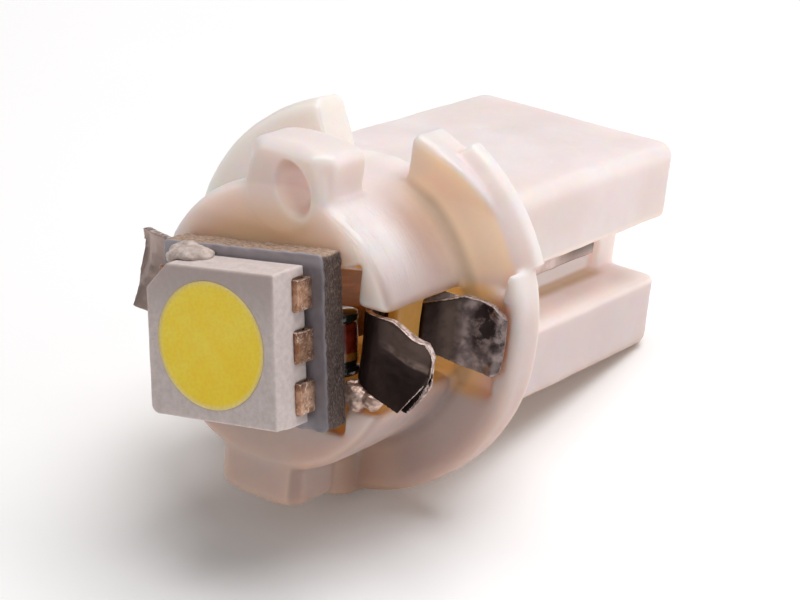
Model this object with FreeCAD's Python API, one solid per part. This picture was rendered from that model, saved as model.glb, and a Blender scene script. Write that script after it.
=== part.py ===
import FreeCAD, Part
import os
import math
from FreeCAD import Vector as V

# Twist-lock instrument-panel LED bulb.
# Built first in the bulb's own axes: +X along the axis towards the LED,
# Y across the grip, Z through its two slabs, origin at the centre of the
# flange's front (seat) face.  The finished pieces are then leaned back by
# REST_TILT so that the bulb lies as it comes to rest on a table, on the rim of
# its flange and the rear edge of its grip.

# ---------------------------------------------------------------- dimensions (mm)
REST_TILT = 12.15         # axis raised towards the LED when the bulb lies down

FLANGE_R = 6.73           # round flange
FLANGE_T = 1.60
FLANGE_FRONT_ROUND = 0.50
FLANGE_BACK_ROUND = 0.22
# the flange's upper right part falls away towards its rim: (x, radius) down its face
STEP_FACE = ((-0.15, 4.40), (-0.33, 5.20), (-0.55, 5.95), (-0.84, 6.48), (-1.08, 6.76))
STEP_R = 6.97             # and has this slightly larger radius
STEP_REAR = 1.82
STEP_END = 60.5           # its rim ends here, degrees from +Y, short of the stop
STOP_A0, STOP_A1 = 64.0, 78.0   # raised stop beside the notch, degrees from +Y
STOP_R = 6.50             # its outer radius
STOP_X = -0.10            # its face, which runs down to the set-back part at this slope:
STOP_SLOPE = 0.25
STOP_RIB_Y0, STOP_RIB_Y1 = -0.30, 1.20   # rib that joins the lower lug to the flange
# the notch behind the upper lug (y, z), a little narrower towards the barrel
NOTCH = ((-1.20, 4.00), (-1.28, 4.90), (-1.46, 5.34), (-1.74, 5.92), (-1.86, 6.18), (-2.04, 6.40), (-2.45, 6.80), (-2.45, 9.0),
         (2.35, 9.0), (2.35, 6.80), (2.06, 6.46), (1.90, 6.22), (1.85, 5.61), (1.76, 4.74), (1.74, 4.00))

BARREL_R = 4.80
BARREL_L = 4.12           # from the seat face to the mouth
BARREL_ROUND = 0.35
# the pocket in the barrel, seen from the front (y, z), with one peaked corner
POCKET = ((-3.25, -2.75), (3.25, -2.75), (3.25, 3.02), (2.50, 2.66), (0.00, 2.50), (-3.25, 1.95))
POCKET_FLOOR = 0.60
SLOT_TOP, SLOT_LOW = 1.62, 1.36   # the slot across the barrel, above and below the axis
SLOT_STEP_X = 2.30        # in front of this it is deeper below
SLOT_LOW_FRONT = 1.75
WALL_X0, WALL_X1 = 1.50, 3.00     # wall left standing in the slot, outside the contact
WALL_Y0, WALL_Y1 = 3.62, 4.05
THROUGH_HALF_Y = 4.30     # the opening through the flange
THROUGH_HALF_Z = 1.20
RECESS_OUT = 5.95         # shallow recess in the seat face under each spring tab
RECESS_HALF = 1.75
RECESS_D = 0.34

LUG_R = 6.15              # bayonet lugs
LUG_HALF = 1.65
LUG_X0, LUG_X1 = 2.00, 4.02
LUG_ROUND = 0.42
# round-bottomed pad on the front of the upper lug
PAD_X0, PAD_X1 = 3.34, 4.19
PAD_R, PAD_Z = 1.56, 4.62
PAD_ROUND = 0.26
DIMPLE = (0.56, 0.62, 1.00)     # half sizes of the oval dimple in it

GRIP_L = 14.57            # rear end of the grip, behind the seat face
GRIP_HALF_W = 4.30
GRIP_HALF_H = 4.00
GRIP_GAP_HALF = 1.20      # the groove between the slabs, half height
GRIP_ROUND = 0.55
WEB_HALF = 2.38
WEB_FRONT = -4.60         # web starts behind the wedge board
WEB_REAR_STRIP = 1.41     # full-width strip at the rear
CHANNEL_D = 0.33          # side channel for the contact's rear leg

STRIP_T = 0.25            # contact strip
LEG_Y = WEB_HALF - CHANNEL_D + STRIP_T / 2.0
LEG_REAR_X = -12.9
LEG_HALF_Z = 0.50
INNER_Y = 3.33            # inner leg, beside the diode in the slot
TAB_Z0, TAB_Z1 = -0.86, 1.64
TAB_OUT = 6.28
# lower edge of the spring tab (y, z), narrow at the root
TAB_LOW = ((3.00, -0.10), (4.10, -0.27), (4.50, -0.46), (4.85, -0.66), (5.20, -0.76), (5.60, -0.80), (6.10, -0.86))
# its upper edge, falling outwards
TAB_HIGH = ((3.00, 1.10), (3.90, 1.30), (4.40, 1.48), (4.95, 1.63), (5.50, 1.58), (5.95, 1.46), (6.12, 1.34), (6.30, 1.10))
# flared ends: x, y, direction, z0, z1, thickness, dish, lean; bent unlike each other
FLARE_RIGHT = (
    (2.30, 3.33, 0.5, -1.05, 1.10, 0.25, 0.004, 0.0),
    (3.10, 3.34, 3, -0.85, 1.48, 0.25, 0.012, 0.0),
    (3.60, 3.39, 28, -0.72, 1.50, 0.25, 0.03, 0.0),
    (3.87, 3.64, 70, -0.84, 1.52, 0.25, 0.06, 0.02),
    (3.88, 4.10, 95, -1.06, 1.50, 0.27, 0.13, 0.05),
    (3.74, 4.75, 101, -1.24, 1.26, 0.34, 0.24, 0.09),
    (3.58, 5.35, 104, -1.38, 1.00, 0.38, 0.36, 0.13),
    (3.47, 5.82, 104, -1.42, 0.80, 0.40, 0.42, 0.15))
FLARE_LEFT = (
    (2.30, 3.33, 0.5, -1.05, 1.10, 0.25, 0.004, 0.0),
    (3.10, 3.34, 3, -0.80, 1.48, 0.25, 0.012, 0.0),
    (3.60, 3.39, 28, -0.80, 1.50, 0.25, 0.03, 0.0),
    (3.87, 3.64, 70, -0.82, 1.52, 0.25, 0.07, 0.02),
    (3.86, 4.10, 95, -0.86, 1.58, 0.27, 0.13, 0.05),
    (3.68, 4.85, 103, -0.90, 1.64, 0.28, 0.26, 0.10),
    (3.42, 5.60, 104, -0.86, 1.62, 0.30, 0.40, 0.15),
    (3.34, 5.96, 104, -0.84, 1.58, 0.30, 0.42, 0.15))
# corners off the outer end of each (y, z), seen from the front
FLARE_CUT_RIGHT = (((5.40, 1.30), (5.86, 0.42), (6.60, 0.42), (6.60, 1.60)),
                   ((5.88, -0.24), (5.30, -1.62), (5.30, -2.40), (6.60, -2.40), (6.60, -0.24)))
FLARE_CUT_LEFT = (((6.08, 0.40), (5.62, -0.84), (5.50, -1.60), (6.80, -1.60), (6.80, 0.40)),)
# the outer edge is folded back on itself and stands a little open at its lower corner
FOLD_GAP = 0.15
FOLD_OPEN = ((5.98, -0.02), (5.20, -1.86), (4.86, -1.70), (5.46, 0.10))
# and the front layer stops a little short of the rear one there
FOLD_SHORT = ((5.80, -0.12), (5.68, -0.30), (5.10, -1.62), (5.00, -2.40), (6.60, -2.40), (6.60, -0.12))

LED_X = 7.11              # centre of the LED's front face
LED_Y, LED_Z = -0.05, 0.09
LED_ROLL, LED_PITCH, LED_YAW = 10.0, -1.8, 0.8   # as soldered, a little askew
LED_SIDE = 5.00
LED_H = 1.60
LED_CHAMFER = 0.92
CUP_R = 2.03
CUP_D = 0.85
LEAD_PITCH = 1.64
LEAD_W = 0.98
LEAD_T = 0.15
LEAD_OUT = 0.19

BOARD_W, BOARD_HGT, BOARD_T = 6.20, 5.62, 1.08
WEDGE_T = 1.00
WEDGE_L = 6.90
WEDGE_NECK_L = 2.00
WEDGE_NECK_HALF = 1.55
WEDGE_HALF = 2.30
DIODE_R, DIODE_LEN = 0.68, 2.10
DIODE_Y, DIODE_Z = 2.38, -0.34
CHIP = (2.60, 1.20, 0.45)
CHIP_X, CHIP_Y = -1.90, -1.15   # its front end behind the LED board, and its middle

OUT = "parts"
os.makedirs(OUT, exist_ok=True)


# ---------------------------------------------------------------- helpers
def box(x0, x1, y0, y1, z0, z1):
    return Part.makeBox(x1 - x0, y1 - y0, z1 - z0, V(x0, y0, z0))


def round_edges(shape, r, pick):
    """Round every edge that pick(edge) accepts; fall back edge by edge."""
    edges = [e for e in shape.Edges if pick(e)]
    if not edges:
        return shape
    try:
        s = shape.makeFillet(r, edges)
        if s.isValid() and s.Volume > 0:
            return s
    except Exception:
        pass
    for mid in [e.CenterOfMass for e in edges]:
        best = min(shape.Edges, key=lambda e: e.CenterOfMass.distanceToPoint(mid))
        try:
            s = shape.makeFillet(r, [best])
            if s.isValid() and s.Volume > 0:
                shape = s
        except Exception:
            pass
    return shape


def along(e, axis):
    if len(e.Vertexes) != 2:
        return False
    d = e.Vertexes[1].Point - e.Vertexes[0].Point
    if d.Length < 1e-6 or e.Curve.TypeId != "Part::GeomLine":
        return False
    d.normalize()
    return abs(getattr(d, axis)) > 0.999


def thick_path(pts, t, z0, z1):
    """A bent strip: the path pts (x, y) given thickness t, z0 to z1 wide."""
    left, right = [], []
    n = len(pts)
    for i, (x, y) in enumerate(pts):
        if i == 0:
            dx, dy = pts[1][0] - x, pts[1][1] - y
            l = math.hypot(dx, dy)
            nx, ny, k = -dy / l, dx / l, 1.0
        elif i == n - 1:
            dx, dy = x - pts[i - 1][0], y - pts[i - 1][1]
            l = math.hypot(dx, dy)
            nx, ny, k = -dy / l, dx / l, 1.0
        else:
            ax, ay = x - pts[i - 1][0], y - pts[i - 1][1]
            bx, by = pts[i + 1][0] - x, pts[i + 1][1] - y
            la, lb = math.hypot(ax, ay), math.hypot(bx, by)
            n1 = (-ay / la, ax / la)
            n2 = (-by / lb, bx / lb)
            nx, ny = n1[0] + n2[0], n1[1] + n2[1]
            l = math.hypot(nx, ny)
            nx, ny = nx / l, ny / l
            k = 1.0 / max(0.5, nx * n1[0] + ny * n1[1])
        left.append(V(x + nx * t / 2 * k, y + ny * t / 2 * k, z0))
        right.append(V(x - nx * t / 2 * k, y - ny * t / 2 * k, z0))
    ring = left + right[::-1]
    face = Part.Face(Part.makePolygon(ring + [ring[0]]))
    return face.extrude(V(0, 0, z1 - z0))


def arc_points(cx, cy, r, a0, a1, n):
    return [(cx + r * math.cos(math.radians(a0 + (a1 - a0) * i / n)),
             cy + r * math.sin(math.radians(a0 + (a1 - a0) * i / n))) for i in range(n + 1)]


def sector(a0, a1, r0, r1, x0, x1):
    """A block spanning angles a0..a1 about X, from radius r0 to r1."""
    pts = [(r0 * math.cos(math.radians(a)), r0 * math.sin(math.radians(a))) for a in (a0, (a0 + a1) / 2, a1)]
    far = [(r1 * math.cos(math.radians(a)), r1 * math.sin(math.radians(a))) for a in (a1, (a0 + a1) / 2, a0)]
    ring = [V(x0, y, z) for y, z in pts + far]
    return Part.Face(Part.makePolygon(ring + [ring[0]])).extrude(V(x1 - x0, 0, 0))


def ellipsoid(c, r):
    s = Part.makeSphere(1.0)
    m = FreeCAD.Matrix()
    m.scale(r[0], r[1], r[2])
    s = s.transformGeometry(m)
    s.translate(V(*c))
    return s


def mirror_y(s):
    return s.mirror(V(0, 0, 0), V(0, 1, 0))


def mirror_z(s):
    return s.mirror(V(0, 0, 0), V(0, 0, 1))


def prism(yz, x0, x1):
    """A polygon in Y and Z extruded along X."""
    ring = [V(x0, y, z) for y, z in yz]
    return Part.Face(Part.makePolygon(ring + [ring[0]])).extrude(V(x1 - x0, 0, 0))


# ---------------------------------------------------------------- moulded holder
def set_back_disc():
    """The flange's set-back part as a full turned disc."""
    pts = [V(x, r, 0) for x, r in STEP_FACE]
    face = Part.BSplineCurve()
    face.interpolate(pts)
    a, b = pts[0], pts[-1]
    rim0, rim1 = V(-1.34, STEP_R, 0), V(-STEP_REAR + 0.22, STEP_R, 0)
    back = V(-STEP_REAR, STEP_R - 0.22, 0)
    edges = [Part.makeLine(V(a.x, 0, 0), a), face.toShape(),
             Part.Arc(b, V(-1.19, STEP_R - 0.07, 0), rim0).toShape(), Part.makeLine(rim0, rim1),
             Part.Arc(rim1, V(-STEP_REAR + 0.064, STEP_R - 0.064, 0), back).toShape(),
             Part.makeLine(back, V(-STEP_REAR, 0, 0)), Part.makeLine(V(-STEP_REAR, 0, 0), V(a.x, 0, 0))]
    return Part.Face(Part.Wire(edges)).revolve(V(0, 0, 0), V(1, 0, 0), 360)


def rim_disc(r, x0, x1, front, back):
    d = Part.makeCylinder(r, x1 - x0, V(x0, 0, 0), V(1, 0, 0))
    d = round_edges(d, front, lambda e: abs(e.BoundBox.XMin - x1) < 1e-4)
    return round_edges(d, back, lambda e: abs(e.BoundBox.XMax - x0) < 1e-4)


def make_flange():
    disc = rim_disc(FLANGE_R, -FLANGE_T, 0.0, FLANGE_FRONT_ROUND, FLANGE_BACK_ROUND)
    # upper right part: from the recess of the spring tab up to the notch
    part = [(3.0, RECESS_HALF), (RECESS_OUT, RECESS_HALF), (6.04, 2.46), (12.0, 4.9), (12.0, 12.0), (0.9, 12.0), (0.9, 3.0)]
    zone = prism(part, -4, 2)
    back = set_back_disc().common(zone)
    back = back.cut(sector(STEP_END, 90.0, STOP_R - 0.10, 12.0, -4, 2))
    disc = disc.cut(zone).fuse(back)
    # raised stop at the notch, from the barrel out to its own rim; its face slopes down to the set-back part
    stop = rim_disc(STOP_R, -FLANGE_T - 0.12, STOP_X, 0.34, 0.2).common(sector(STOP_A0 - 36.0, STOP_A1, 4.30, 9.0, -4, 2))
    a = math.radians(STOP_A0)
    u, t = V(0, math.cos(a), math.sin(a)), V(0, -math.sin(a), math.cos(a))
    ring = [u * 3.0 - t * w + V(x, 0, 0) for w, x in ((0.0, STOP_X), (5.0, STOP_X - 5.0 * STOP_SLOPE), (5.0, 2.0), (0.0, 2.0))]
    stop = stop.cut(Part.Face(Part.makePolygon(ring + [ring[0]])).extrude(u * 8.0))
    disc = disc.fuse(stop)
    # notch behind the upper lug
    n = prism(NOTCH, -3, 1).cut(Part.makeCylinder(BARREL_R, 8, V(-4, 0, 0), V(1, 0, 0)))
    disc = disc.cut(n)
    return disc.removeSplitter()


def make_lug():
    x0, x1, h = LUG_X0, LUG_X1, LUG_HALF
    pts = [(x0, -h), (x1 - 0.30, -h), (x1, -h + 0.35), (x1, h - 0.40), (x1 - 0.35, h), (x0, h)]
    ring = [V(x, y, 4.0) for x, y in pts]
    lug = Part.Face(Part.makePolygon(ring + [ring[0]])).extrude(V(0, 0, 4.0))
    lug = lug.common(Part.makeCylinder(LUG_R, 8, V(-2, 0, 0), V(1, 0, 0)))
    lug = round_edges(lug, LUG_ROUND,
                      lambda e: e.CenterOfMass.z > 5.6 and e.BoundBox.ZMax > 5.7 and not along(e, "z")
                      and e.CenterOfMass.x > x0 + 0.05)
    return lug


def make_pad():
    """Pad on the upper lug's front: half round below, narrowing above."""
    c = [V(PAD_X0, PAD_R * math.cos(a), PAD_Z + PAD_R * math.sin(a)) for a in (math.pi, 1.5 * math.pi, 2 * math.pi)]
    top = [c[2], V(PAD_X0, 1.48, 5.20), V(PAD_X0, 1.10, 5.95), V(PAD_X0, -1.10, 5.95), V(PAD_X0, -1.48, 5.20), c[0]]
    wire = Part.Wire([Part.Arc(*c).toShape()] + [Part.makeLine(a, b) for a, b in zip(top, top[1:])])
    pad = Part.Face(wire).extrude(V(PAD_X1 - PAD_X0, 0, 0))
    return round_edges(pad, PAD_ROUND, lambda e: abs(e.BoundBox.XMin - PAD_X1) < 1e-4)


def make_body():
    barrel = Part.makeCylinder(BARREL_R, BARREL_L + FLANGE_T, V(-FLANGE_T, 0, 0), V(1, 0, 0))
    barrel = round_edges(barrel, BARREL_ROUND, lambda e: abs(e.BoundBox.XMin - BARREL_L) < 1e-4)
    barrel = barrel.cut(prism(POCKET, POCKET_FLOOR, BARREL_L + 1))
    # slot right across the barrel, open at the mouth; its edges are eased
    slot = box(0, BARREL_L + 1, -9, 9, -SLOT_LOW, SLOT_TOP).fuse(box(SLOT_STEP_X, BARREL_L + 1, -9, 9, -SLOT_LOW_FRONT, SLOT_TOP))
    barrel = barrel.cut(slot)
    barrel = round_edges(barrel, 0.26,
                         lambda e: along(e, "x") and min(abs(e.CenterOfMass.z - SLOT_TOP), abs(e.CenterOfMass.z + SLOT_LOW)) < 0.02
                         and abs(e.CenterOfMass.y) > 3.5)
    # a wall left in the slot on each side, outside the contact
    for s in (1, -1):
        y0, y1 = sorted((s * WALL_Y0, s * WALL_Y1))
        barrel = barrel.fuse(box(WALL_X0, WALL_X1, y0, y1, -SLOT_LOW_FRONT - 0.12, SLOT_TOP + 0.12))
    lug = make_lug()
    barrel = barrel.fuse([lug, mirror_z(lug), make_pad()])
    # oval dimple in the front of the upper lug, shallower towards its far side
    d = Part.makeSphere(1.0)
    m = FreeCAD.Matrix()
    m.scale(*DIMPLE)
    d = d.transformGeometry(m)
    d.rotate(V(0, 0, 0), V(1, 0, 0), 33)
    d.rotate(V(0, 0, 0), V(0, 0, 1), 12)
    d.translate(V(PAD_X1 + 0.08, 0.38, 4.74))
    barrel = barrel.cut(d)
    body = barrel.fuse(make_flange())
    # rib between the lower lug and the flange, where the twist stops
    rib = [(LUG_X0 + 0.3, -4.0), (LUG_X0 + 0.3, -5.90), (LUG_X0, -6.06), (1.13, -6.43), (0.20, -6.69), (-0.6, -6.70), (-0.6, -4.0)]
    ring = [V(x, STOP_RIB_Y0, z) for x, z in rib]
    rib = Part.Face(Part.makePolygon(ring + [ring[0]])).extrude(V(0, STOP_RIB_Y1 - STOP_RIB_Y0, 0))
    body = body.fuse(rib)
    # grip: two slabs
    slab = box(-GRIP_L, -FLANGE_T + 0.2, -GRIP_HALF_W, GRIP_HALF_W, GRIP_GAP_HALF, GRIP_HALF_H)
    slab = round_edges(slab, GRIP_ROUND, lambda e: (
        (along(e, "x") and e.CenterOfMass.z > GRIP_HALF_H - 0.01)
        or (abs(e.CenterOfMass.x + GRIP_L) < 0.01 and (along(e, "z") or (along(e, "y") and e.CenterOfMass.z > GRIP_HALF_H - 0.01)))))
    slab = round_edges(slab, 0.14, lambda e: abs(e.BoundBox.ZMin - GRIP_GAP_HALF) < 1e-4 and abs(e.BoundBox.ZMax - GRIP_GAP_HALF) < 1e-4
                       and e.CenterOfMass.x < -FLANGE_T)
    body = body.fuse([slab, mirror_z(slab)])
    # web between the slabs with a channel down each side
    web = box(-GRIP_L + 0.10, WEB_FRONT, -WEB_HALF, WEB_HALF, -GRIP_GAP_HALF - 0.2, GRIP_GAP_HALF + 0.2)
    for s in (1, -1):
        y0, y1 = sorted((s * (WEB_HALF - CHANNEL_D), s * (WEB_HALF + 1)))
        web = web.cut(box(-GRIP_L + WEB_REAR_STRIP, WEB_FRONT + 0.1 + 1, y0, y1, -GRIP_GAP_HALF, GRIP_GAP_HALF))
    body = body.fuse(web)
    # way through the flange for the contacts and the wedge board
    body = body.cut(box(-FLANGE_T - 0.5, 0.3, -THROUGH_HALF_Y, THROUGH_HALF_Y, -THROUGH_HALF_Z, THROUGH_HALF_Z))
    # shallow recess in the seat face under each spring tab
    for s in (1, -1):
        y0, y1 = sorted((s * 3.2, s * RECESS_OUT))
        body = body.cut(box(-RECESS_D, 0.6, y0, y1, -RECESS_HALF, RECESS_HALF).cut(
            Part.makeCylinder(BARREL_R, 8, V(-4, 0, 0), V(1, 0, 0)).cut(box(-4, 4, -9, 9, -SLOT_LOW, SLOT_TOP))))
        y0, y1 = sorted((s * 5.8, s * (TAB_OUT + 0.07)))
        body = body.cut(box(-0.20, 0.6, y0, y1, TAB_Z0 - 0.04, 1.52))
    return body.removeSplitter()


# ---------------------------------------------------------------- contacts
def flap_section(px, py, ang, z0, z1, t, sag, lean=0.0):
    """Closed thin section at (px, py), path direction ang (deg in XY), dished by sag.

    lean moves the lower end forward and the upper end back."""
    a = math.radians(ang)
    n = V(math.sin(a), -math.cos(a), 0)      # front normal of the flap
    zm = (z0 + z1) / 2.0
    c = V(px, py, 0)
    f0 = c + n * (t / 2 + sag + lean) + V(0, 0, z0)
    fm = c + n * (t / 2) + V(0, 0, zm)
    f1 = c + n * (t / 2 + sag - lean) + V(0, 0, z1)
    b0 = c + n * (-t / 2 + sag + lean) + V(0, 0, z0)
    bm = c - n * (t / 2) + V(0, 0, zm)
    b1 = c + n * (-t / 2 + sag - lean) + V(0, 0, z1)
    return Part.Wire([Part.Arc(f0, fm, f1).toShape(), Part.makeLine(f1, b1),
                      Part.Arc(b1, bm, b0).toShape(), Part.makeLine(b0, f0)])


def make_contact(flare, cuts, folded):
    t = STRIP_T
    rear = thick_path([(LEG_REAR_X, LEG_Y), (-4.0, LEG_Y), (-3.2, LEG_Y + 0.05), (-1.5, INNER_Y - 0.2)],
                      t, -LEG_HALF_Z, LEG_HALF_Z)
    inner = thick_path([(-2.4, LEG_Y + 0.70), (-1.5, INNER_Y - 0.2), (-1.0, INNER_Y), (2.6, INNER_Y)],
                       t, -1.05, 1.10)
    # inner leg widens in the slot, turns outward at the mouth and dishes
    y0 = INNER_Y
    flap = Part.makeLoft([flap_section(*f) for f in flare], True, False)
    for yz in cuts:
        flap = flap.cut(prism(yz, 2.0, 5.5))
    # the end is folded back on itself: the fold is shut above and open below
    sheet = Part.makeLoft([flap_section(f[0], f[1], f[2], f[3] - 0.05, f[4] + 0.05, FOLD_GAP, f[6], f[7]) for f in flare], True, False)
    gap = None
    if folded:
        front = []
        for f in flare:
            a = math.radians(f[2])
            front.append(flap_section(f[0] + 0.5 * math.sin(a), f[1] - 0.5 * math.cos(a), f[2], f[3] - 0.05, f[4] + 0.05, 1.0, f[6], f[7]))
        front = Part.makeLoft(front[4:], True, False)
        gap = sheet.common(prism(FOLD_OPEN, 2.0, 5.5)).fuse(front.common(prism(FOLD_SHORT, 2.0, 5.5)))
    tab = thick_path([(0.72, y0 - 0.02), (1.10, y0 + 0.28), (1.22, y0 + 0.62), (0.98, y0 + 1.00),
                      (0.50, y0 + 1.42), (0.26, 5.3), (0.16, TAB_OUT - 0.22), (-0.03, TAB_OUT)],
                     t, TAB_Z0, TAB_Z1)
    tab = tab.cut(prism(TAB_LOW + ((6.10, -2.0), (3.00, -2.0)), -2.0, 3.0))
    tab = tab.cut(prism(TAB_HIGH + ((6.60, 1.10), (6.60, 3.0), (3.00, 3.0)), -2.0, 3.0))
    for z0, s in ((TAB_Z0, -1),):
        k = 0.24
        ring = [V(-1, TAB_OUT + 0.15, z0 + s * 0.1), V(-1, TAB_OUT + 0.15, z0 - s * k), V(-1, TAB_OUT - k, z0 + s * 0.1)]
        tab = tab.cut(Part.Face(Part.makePolygon(ring + [ring[0]])).extrude(V(3, 0, 0)))
    c = rear.fuse([inner, tab])
    c = c.fuse(flap)
    if gap is not None:
        c = c.cut(gap)
    return c.removeSplitter()


# ---------------------------------------------------------------- LED and boards, local axes
# local X forward from the LED's front face, Y and Z across it
def seat(s):
    s = s.copy()
    s.rotate(V(0, 0, 0), V(1, 0, 0), LED_ROLL)
    s.rotate(V(0, 0, 0), V(0, 1, 0), LED_PITCH)
    s.rotate(V(0, 0, 0), V(0, 0, 1), LED_YAW)
    s.translate(V(LED_X, LED_Y, LED_Z))
    return s


def make_housing():
    h = LED_SIDE / 2.0
    low = box(-LED_H, -0.62, -h, h, -h, h)
    k = 0.05                                   # mould draft above the parting line
    top0 = [V(-0.62, -h + 0.02, -h + 0.02), V(-0.62, h - 0.02, -h + 0.02), V(-0.62, h - 0.02, h - 0.02), V(-0.62, -h + 0.02, h - 0.02)]
    top1 = [V(0, -h + k, -h + k), V(0, h - k, -h + k), V(0, h - k, h - k), V(0, -h + k, h - k)]
    top = Part.makeLoft([Part.makePolygon(top0 + [top0[0]]), Part.makePolygon(top1 + [top1[0]])], True, True)
    body = low.fuse(top)
    c = LED_CHAMFER
    ring = [V(-2, -h - 1, h - c - 0.0 - 1.0), V(-2, -h - 1, h + 1), V(-2, -h + c + 1.0, h + 1)]
    body = body.cut(Part.Face(Part.makePolygon(ring + [ring[0]])).extrude(V(3, 0, 0)))
    body = round_edges(body, 0.30, lambda e: e.BoundBox.XLength > 0.5 and e.CenterOfMass.y < -h + 0.15 and e.CenterOfMass.z < -h + 0.15
                       and e.BoundBox.YLength < 0.2 and e.BoundBox.ZLength < 0.2)
    # round cup
    cup = Part.makeCone(CUP_R - 0.28, CUP_R, CUP_D, V(-CUP_D, 0, 0), V(1, 0, 0))
    body = body.cut(cup)
    # pockets down each side where the leads come out and turn under
    for s in (1, -1):
        for i in (-1, 0, 1):
            z = i * LEAD_PITCH
            y0, y1 = sorted((s * (h - 0.10), s * (h + 1)))
            body = body.cut(box(-LED_H - 1, -0.98, y0, y1, z - LEAD_W / 2 - 0.03, z + LEAD_W / 2 + 0.03))
    return body.removeSplitter()


def make_lead(side, i):
    h = LED_SIDE / 2.0
    z = i * LEAD_PITCH
    y_in, y_out = h - 0.10, h + LEAD_OUT
    pts = [(-1.06, y_in), (-1.06, y_out - LEAD_T / 2),
           (-LED_H - LEAD_T / 2, y_out - LEAD_T / 2), (-LED_H - LEAD_T / 2, h - 0.62)]
    s = thick_path(pts, LEAD_T, z - LEAD_W / 2, z + LEAD_W / 2)
    if side < 0:
        s = mirror_y(s)
    return s


def make_dies():
    out = []
    for i in (-1, 0, 1):
        out.append(box(-CUP_D, -CUP_D + 0.15, -0.30, 0.30, i * 0.95 - 0.30, i * 0.95 + 0.30))
    return out


def make_led_board():
    x1 = -LED_H - LEAD_T
    b = box(x1 - BOARD_T, x1, -BOARD_W / 2, BOARD_W / 2, -BOARD_HGT / 2, BOARD_HGT / 2)
    b = round_edges(b, 0.16, lambda e: along(e, "x"))
    return b


def make_wedge():
    x1 = -LED_H - LEAD_T - BOARD_T
    a = box(x1 - WEDGE_NECK_L - 0.2, x1, -WEDGE_NECK_HALF, WEDGE_NECK_HALF, -WEDGE_T / 2, WEDGE_T / 2)
    b = box(x1 - WEDGE_L, x1 - WEDGE_NECK_L, -WEDGE_HALF, WEDGE_HALF, -WEDGE_T / 2, WEDGE_T / 2)
    w = a.fuse(b).removeSplitter()
    return round_edges(w, 0.35, lambda e: along(e, "z") and e.CenterOfMass.x < x1 - WEDGE_L + 0.1)


def make_diode():
    x = -LED_H - LEAD_T - BOARD_T - DIODE_R
    z0, z1 = DIODE_Z - DIODE_LEN / 2, DIODE_Z + DIODE_LEN / 2
    c = Part.makeCylinder(DIODE_R - 0.05, DIODE_LEN, V(x, DIODE_Y, z0), V(0, 0, 1))
    a = Part.makeCylinder(DIODE_R, 0.34, V(x, DIODE_Y, z0), V(0, 0, 1))
    b = Part.makeCylinder(DIODE_R, 0.34, V(x, DIODE_Y, z1 - 0.34), V(0, 0, 1))
    return c.fuse([a, b]).removeSplitter()


def main():
    nodes = {}
    body = make_body()
    cr = make_contact(FLARE_RIGHT, FLARE_CUT_RIGHT, True)
    cl = mirror_y(make_contact(FLARE_LEFT, FLARE_CUT_LEFT, False))
    nodes["base_body"] = body
    nodes["contact_right"] = cr
    nodes["contact_left"] = cl

    housing = make_housing()
    nodes["led_housing"] = seat(housing)
    dies = make_dies()
    lens = Part.makeCone(CUP_R - 0.28, CUP_R, CUP_D, V(-CUP_D, 0, 0), V(1, 0, 0))
    for d in dies:
        lens = lens.cut(d)
    nodes["phosphor_lens"] = seat(lens)
    for i, d in enumerate(dies):
        nodes["led_die_%d" % (i + 1)] = seat(d)
    n = 0
    for side in (1, -1):
        for i in (1, 0, -1):
            n += 1
            nodes["led_lead_%d" % n] = seat(make_lead(side, i))
    board = seat(make_led_board())
    wedge = seat(make_wedge())
    diode = seat(make_diode())
    nodes["led_board"] = board
    nodes["wedge_board"] = wedge
    nodes["diode"] = diode
    xb = -LED_H - LEAD_T - BOARD_T
    chip = seat(box(xb + CHIP_X - CHIP[0], xb + CHIP_X, CHIP_Y - CHIP[1] / 2, CHIP_Y + CHIP[1] / 2,
                    WEDGE_T / 2, WEDGE_T / 2 + CHIP[2]))
    nodes["chip_resistor"] = chip

    # solder joints, trimmed to what they lie against
    def ball(x, y, z, r):
        return Part.makeSphere(r, V(x, y, z))

    jr = ball(3.92, 3.56, -1.34, 0.48).fuse([ball(3.98, 4.08, -1.30, 0.34), ball(3.90, 3.28, -1.20, 0.36)]).removeSplitter()
    jr = jr.cut(board).cut(cr).cut(body).cut(diode)
    jl = ball(3.84, -3.22, -0.90, 0.48).fuse(ball(3.86, -3.60, -0.82, 0.36)).removeSplitter()
    jl = jl.cut(board).cut(cl).cut(body)
    nodes["solder_right"] = max(jr.Solids, key=lambda s: s.Volume)
    nodes["solder_left"] = max(jl.Solids, key=lambda s: s.Volume)
    for name, s in (("solder_wedge_upper", 1), ("solder_wedge_lower", -1)):
        fil = seat(ellipsoid((xb, -0.4, s * WEDGE_T / 2), (0.55, 0.95, 0.42)))
        fil = fil.cut(board).cut(wedge).cut(chip)
        nodes[name] = max(fil.Solids, key=lambda q: q.Volume)
    lump = ellipsoid((-1.12, -1.50, LED_SIDE / 2 - 0.02), (0.66, 0.86, 0.36))
    lump2 = ellipsoid((-1.40, -1.90, LED_SIDE / 2 + 0.06), (0.42, 0.60, 0.34))
    lump = seat(lump.fuse(lump2)).cut(nodes["led_housing"]).cut(board)
    nodes["flux_lump"] = max(lump.Solids, key=lambda q: q.Volume)

    for name, s in nodes.items():
        if len(s.Solids) == 1:
            s = s.Solids[0]
        s = s.copy()
        s.rotate(V(0, 0, 0), V(0, 1, 0), -REST_TILT)
        print("%-20s solids %d valid %s vol %.2f" % (name, len(s.Solids), s.isValid(), s.Volume), s.BoundBox)
        s.exportStep(os.path.join(OUT, name + ".step"))


main()
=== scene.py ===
import math
import bpy
import bmesh
import numpy as np
from mathutils import Matrix, Vector, noise


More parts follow.
